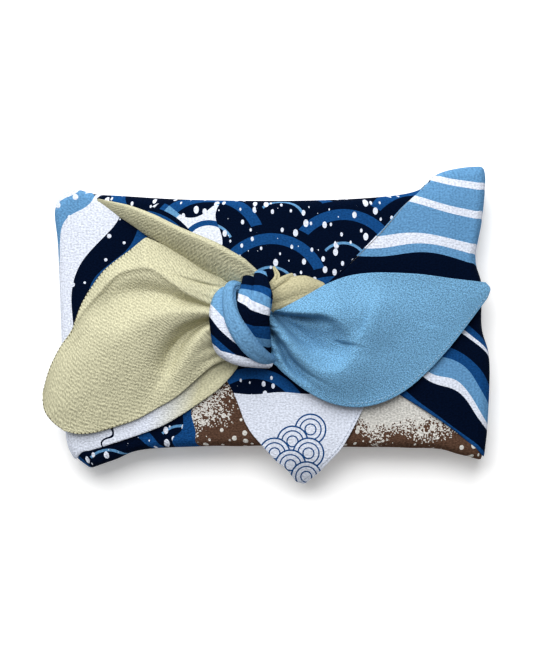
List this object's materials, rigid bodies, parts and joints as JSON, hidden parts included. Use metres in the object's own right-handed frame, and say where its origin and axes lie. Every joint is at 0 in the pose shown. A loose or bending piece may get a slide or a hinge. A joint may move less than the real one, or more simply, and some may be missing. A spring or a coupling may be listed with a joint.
{
  "type": "furoshiki wrap",
  "caption": "Square cloth wrapped round a thin flat parcel and tied on its front in a knot with broad free tails.",
  "frame": {"origin": "under the middle of the whole, at the height of the parcel's back", "axes": "+X along the parcel's width to the right as the knot is seen from the front, +Y towards the parcel's top edge, +Z out of its front, through the knot"},
  "size_m": [0.2244, 0.1601, 0.0479],
  "materials": {
    "cloth": "matt crepe, printed in navy, mid-blue, pale blue and white on the outside, beige at one corner and sky blue at the other"
  },
  "bodies": {
    "root": {"furoshiki": "cloth"}
  },
  "joints": []
}
